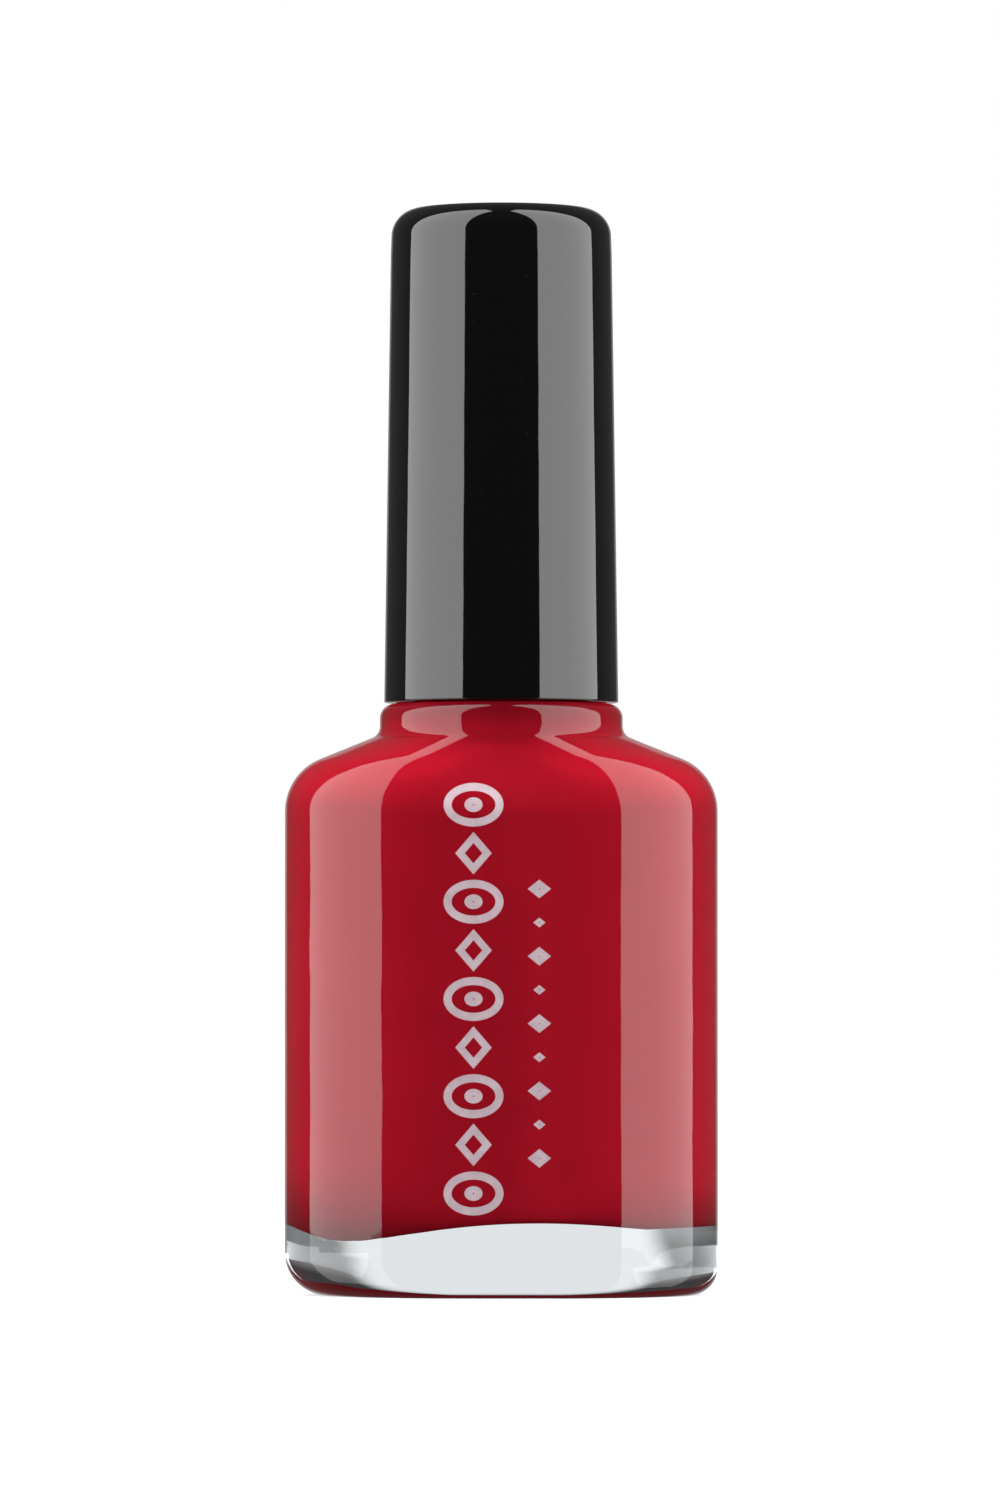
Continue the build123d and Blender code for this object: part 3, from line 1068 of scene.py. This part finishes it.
# ---- the cap
@dataclass
class Shell:
    """Outer shell of the cap, turned from its outline, in millimetres."""

    around: int = 256
    bottom: float = 8.12
    top: float = 7.63
    edge: float = 1.95
    foot: float = 0.12
    foot_drop: float = 0.17
    wall: float = 1.0
    roof: float = 1.6
    step: float = 0.3
    mouth_round: float = 0.25
    seat: float = 7.23
    seat_height: float = 14.2

    def outline(self, low: float, high: float) -> Outline:
        """Outline from the middle of the inner roof, down, round the foot and up to the top.

        Args:
            low: Height of the foot.
            high: Height of the top.

        Returns:
            Points as (radius, height).
        """
        taper = (self.bottom - self.top) / (high - low)
        roof = high - self.roof
        narrow = self.top - self.wall
        points = [(narrow * f, roof) for f in (0.25, 0.5, 0.75, 0.93)]
        step, lead = self.step, self.mouth_round
        points += arc((narrow - step, roof - step), step, 90, 0, 5)
        shoulder = low + self.seat_height + step
        inner = min(self.bottom - taper * self.seat_height - self.wall, self.seat)
        for i in range(1, 10):
            u = i / 10
            points.append((narrow + (inner - narrow) * u, roof + (shoulder - roof) * u))
        points += [(inner, shoulder), (self.seat, shoulder - step)]
        points += [(self.seat, low + self.seat_height * (1 - i / 8)) for i in range(1, 8)]
        points += arc((self.seat + lead, low + lead), lead, 180, 270, 5)
        points += arc((self.bottom - self.foot, low + self.foot), self.foot, -90, 0, 6)
        for i in range(1, 24):
            z = low + self.foot + (high - self.edge - low - self.foot) * i / 24
            points.append((self.bottom - taper * (z - low), z))
        points += arc((self.top - self.edge, high - self.edge), self.edge, 0, 90, 18)
        points += [((self.top - self.edge) * f, high) for f in (0.97, 0.85, 0.6, 0.35, 0.12)]
        return points

    def make(self) -> Piece:
        """Builds the shell between the heights of the frame's node.

        Returns:
            The shell, which rides on the cap.
        """
        low, high = (corner.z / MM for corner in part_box("outer_cap"))
        low -= self.foot_drop
        rings = [level_ring(turn(self.around), r, z) for r, z in self.outline(low, high)]
        piece = skin("cap_shell", rings, np.array([0, 0, high - self.roof]), np.array([0, 0, high]))
        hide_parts("outer_cap")
        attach(piece, Body.CAP.value)
        Moulded(index=1.68).on(piece)
        return piece


@dataclass
class Brush:
    """Tuft of nylon filaments, cut to a rounded end, in millimetres."""

    count: int = 240
    sides: int = 6
    sections: int = 9
    thickness: float = 0.055
    seed: int = 11
    skin_depth: float = 0.08
    sway: float = 0.05
    dome: float = 0.16
    scatter: float = 0.12
    rooted: float = 0.6
    taper: float = 0.5
    taper_start: float = 0.72

    def filament(self, points: np.ndarray, verts: Rings, faces: Faces) -> None:
        """Adds one filament as a thin tapered tube.

        Args:
            points: Middle line from root to tip.
            verts: Vertices so far, added to.
            faces: Faces so far, added to.
        """
        first = sum(len(v) for v in verts)
        for i, point in enumerate(points):
            radius = self.thickness * (1.0 if i < len(points) - 2 else (0.75 if i < len(points) - 1 else 0.3))
            verts.append(level_ring(turn(self.sides), radius, 0.0) + point)
        for i in range(len(points) - 1):
            for j in range(self.sides):
                k = (j + 1) % self.sides
                a, b = first + i * self.sides, first + (i + 1) * self.sides
                faces.append((a + j, b + j, b + k, a + k))
        faces.append(tuple(first + j for j in range(self.sides)))
        last = first + (len(points) - 1) * self.sides
        faces.append(tuple(last + j for j in range(self.sides - 1, -1, -1)))

    def make(self) -> Piece:
        """Builds the tuft inside the frame's bristles.

        Returns:
            The tuft, which rides on the cap.
        """
        low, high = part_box("bristles")
        stem_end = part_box("brush_stem")[0].z / MM
        tip, belly = low.z / MM, high.x / MM - self.skin_depth
        draw = random.Random(self.seed)
        verts: Rings = []
        faces: Faces = []
        for i in range(self.count):
            share = math.sqrt((i + 0.5) / self.count)
            start = i * GOLDEN_ANGLE
            wave = draw.uniform(-self.sway, self.sway)
            length = (stem_end - tip) * (1.0 - self.dome * share**3) - abs(draw.gauss(0, self.scatter))
            points = []
            for k in range(self.sections + 1):
                u = k / self.sections
                narrowing = smooth((u - self.taper_start) / (1 - self.taper_start))
                spread = 1.0 + (belly - 1.0) * smooth(u * 1.5) - self.taper * share * narrowing
                r = share * spread
                a = start + wave * math.sin(3.0 * u)
                z = stem_end + self.rooted - (length + self.rooted) * u
                points.append((r * math.cos(a), r * math.sin(a), z))
            self.filament(np.array(points), verts, faces)
        piece = mesh_object("brush_tuft", metres(np.vstack(verts)), faces)
        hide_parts("bristles")
        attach(piece, Body.CAP.value)
        Dipped(name="nylon_filament", dry=(0.03, 0.028, 0.028), level=0.030).on(piece)
        return piece


@dataclass
class Fittings:
    """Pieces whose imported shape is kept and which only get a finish."""

    finishes: dict[str, Finish] = field(default_factory=lambda: {
        "inner_cap": Moulded(name="inner_plastic", base=(0.016, 0.016, 0.017), roughness=0.34,
                             grain=0.7, sink=0.6, relief=0.00002, traces=0.08, dust=0.02),
        "liner_facing": Moulded(name="liner_film", base=(0.80, 0.80, 0.77), roughness=0.22,
                                grain=0.1, sink=0.9, relief=0.00001, traces=0.1, dust=0.0),
        "liner_pad": Foam(),
        "brush_stem": Dipped(),
        "brush_anchor": Steel(name="anchor_wire", roughness=0.28, grinding=0.2),
        "mixing_ball_1": Steel(),
        "mixing_ball_2": Steel(),
    })

    def dress(self) -> None:
        """Puts each finish on its node."""
        for node, finish in self.finishes.items():
            finish.on(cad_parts[node])
            LOG.info("%s keeps its packed shape, finish %s", node, finish.name)


# ---- the studio
@dataclass
class Studio:
    """Floor, lamps, surroundings and camera, in metres."""

    floor_radii: tuple[float, ...] = (0.04, 0.2, 0.7, 4.0)
    floor_around: int = 64
    floor_gap: float = 0.00001
    floor_glow: float = 1.05
    glow_reach: Pair = (0.06, 0.3)
    dark_reach: Pair = (0.02, 0.25)
    dark_levels: Pair = (0.05, 0.30)
    floor_bounce: float = 0.25
    behind: Pair = (0.90, 0.97)
    mirrored: Pair = (0.015, 0.09)
    mirrored_span: Pair = (-0.3, 0.6)
    level_span: Pair = (0.03, 0.25)
    mirrored_behind: float = 0.4
    sky: Pair = (0.10, 0.8)
    camera_distance: float = 0.69
    camera_shift: float = -0.00009
    camera_height: float = 0.0204
    camera_tilt: float = 1.44
    lens: float = 238.8
    sensor: float = 36.0
    box_distance: float = 0.40
    box_azimuth: float = 73.5
    box_width: float = 0.57
    box_height: float = 3.20
    box_foot: float = -0.008
    box_radiance: float = 3.0
    low_height: float = 0.35
    low_radiance: float = 1.5
    top_size: float = 0.5
    top_height: float = 0.9
    top_radiance: float = 4.0

    def floor(self) -> Piece:
        """Pale floor whose far part glows so that it runs into the surroundings.

        Returns:
            The floor.
        """
        count = self.floor_around
        rings = [level_ring(turn(count), r, 0.0) for r in self.floor_radii]
        middle = count * len(rings)
        faces: Faces = [(middle, j, (j + 1) % count) for j in range(count)]
        for row in range(0, middle - count, count):
            for j in range(count):
                k = (j + 1) % count
                faces.append((row + j, row + count + j, row + count + k, row + k))
        piece = mesh_object("studio_floor", np.vstack([*rings, np.zeros((1, 3))]), faces)
        piece.location.z = -self.floor_gap
        made = bpy.data.materials.new("studio_paper")
        made.use_nodes = True
        n = Nodes(made.node_tree)
        shader = made.node_tree.nodes["Principled BSDF"]
        n.put(shader, "Base Color", (0.9, 0.9, 0.9, 1.0))
        n.put(shader, "Roughness", 0.9)
        n.put(shader, "Specular IOR Level", 0.0)
        where = n.place()
        reach = n.add("ShaderNodeVectorMath", operation="LENGTH", inputs={0: where}).outputs["Value"]
        glow = n.add("ShaderNodeEmission", inputs={"Strength": self.floor_glow}).outputs[0]
        mixed = n.layer(n.ramp(reach, *self.glow_reach), shader.outputs[0], glow)
        away = n.math("DIVIDE", n.add("ShaderNodeSeparateXYZ", inputs={0: where}).outputs["Y"], reach)
        beside = n.ramp(reach, *self.dark_reach, self.dark_levels)
        level = n.blend(n.ramp(away, *self.behind), beside, 1.0)
        refracted = n.add("ShaderNodeEmission", inputs={"Strength": level}).outputs[0]
        bounce = n.add("ShaderNodeEmission", inputs={"Strength": self.floor_bounce}).outputs[0]
        path = n.add("ShaderNodeLightPath").outputs
        mixed = n.layer(path["Is Transmission Ray"], mixed, refracted)
        n.surface(n.layer(path["Is Diffuse Ray"], mixed, bounce))
        piece.data.materials.append(made)
        piece.visible_glossy = False
        return piece

    def softbox(self, label: str, side: int, foot: float, height: float, radiance: float) -> Piece:
        """Tall soft light on one side, seen only in reflections.

        Args:
            label: First part of the lamp's name.
            side: 1 for the right, -1 for the left.
            foot: Height of its lower edge.
            height: Its height.
            radiance: How bright its face is.

        Returns:
            The lamp.
        """
        lamp = bpy.data.lights.new(f"{label}_{'right' if side > 0 else 'left'}", "AREA")
        lamp.shape = "RECTANGLE"
        lamp.size, lamp.size_y = self.box_width, height
        lamp.energy = radiance * math.pi * self.box_width * height
        made = linked(lamp.name, lamp)
        azimuth = math.radians(self.box_azimuth)
        made.location = (side * self.box_distance * math.sin(azimuth),
                         -self.box_distance * math.cos(azimuth), foot + height / 2)
        aim = Vector((-made.location.x, -made.location.y, 0.0))
        made.rotation_euler = aim.to_track_quat("-Z", "Y").to_euler()
        made.visible_camera = False
        return made

    def overhead(self) -> Piece:
        """Soft light from above that leaves no reflection of its own.

        Returns:
            The lamp.
        """
        lamp = bpy.data.lights.new("overhead_light", "AREA")
        lamp.size = self.top_size
        lamp.energy = self.top_radiance * math.pi * self.top_size**2
        made = linked(lamp.name, lamp)
        made.location.z = self.top_height
        made.visible_camera = False
        made.visible_glossy = False
        made.visible_transmission = False
        return made

    def surroundings(self) -> None:
        """White behind the bottle, dark towards the camera, soft fill for matte surfaces."""
        world = bpy.data.worlds.new("studio_air")
        world.use_nodes = True
        bpy.context.scene.world = world
        n = Nodes(world.node_tree)
        n.tree.nodes.clear()
        where = n.add("ShaderNodeTexCoord").outputs["Generated"]
        split = n.add("ShaderNodeSeparateXYZ", inputs={0: where}).outputs
        behind = n.ramp(split["Y"], *self.behind)
        path = n.add("ShaderNodeLightPath").outputs
        around = n.ramp(split["Y"], *self.mirrored_span, self.mirrored)
        glossy = n.math("MAXIMUM", around, n.math("MULTIPLY", behind, self.mirrored_behind))
        beside = n.ramp(n.math("ABSOLUTE", split["Z"]), *self.level_span, self.dark_levels[::-1])
        level = n.blend(path["Is Glossy Ray"], n.ramp(split["Z"], 0.0, 0.9, self.sky), glossy)
        level = n.blend(path["Is Transmission Ray"], level, n.blend(behind, beside, 1.0))
        level = n.blend(path["Is Camera Ray"], level, 1.0)
        air = n.add("ShaderNodeBackground", inputs={"Strength": level, "Color": (1.0, 1.0, 1.0, 1.0)})
        out = n.add("ShaderNodeOutputWorld")
        n.link(air.outputs[0], out, "Surface")

    def camera(self) -> Piece:
        """Long lens low in front of the bottle, tilted up a little.

        Returns:
            The camera.
        """
        lens = bpy.data.cameras.new("studio_camera")
        lens.sensor_fit = "VERTICAL"
        lens.sensor_height = self.sensor
        lens.lens = self.lens
        lens.clip_start = 0.01
        made = linked("studio_camera", lens)
        made.location = (self.camera_shift, -self.camera_distance, self.camera_height)
        made.rotation_euler = (math.radians(90.0 + self.camera_tilt), 0.0, 0.0)
        bpy.context.scene.camera = made
        return made

    def make(self) -> None:
        """Builds the whole studio."""
        self.floor()
        for side in (-1, 1):
            self.softbox("softbox", side, self.box_foot, self.box_height, self.box_radiance)
            low_foot = self.box_foot - self.low_height
            glow = self.softbox("table_glow", side, low_foot, self.low_height, self.low_radiance)
            glow.visible_transmission = False
        self.overhead()
        self.surroundings()
        self.camera()
        bpy.context.scene.view_settings.view_transform = "Standard"


def report(piece: Piece) -> None:
    """Logs a piece's name, face count and size."""
    size = [round(v / MM, 2) for v in piece.dimensions]
    LOG.info("%s: %d faces, %s mm", piece.name, len(piece.data.polygons), size)


def main() -> None:
    """Builds every piece in order."""
    logging.basicConfig(level=logging.INFO, format="%(name)s: %(message)s")
    Studio().make()
    vessel = Vessel()
    for piece in (vessel.glass(), vessel.liquid(), Print(vessel).make(), Shell().make(), Brush().make()):
        report(piece)
    Fittings().dress()
    bpy.context.view_layer.update()


if __name__ == "__main__":
    main()
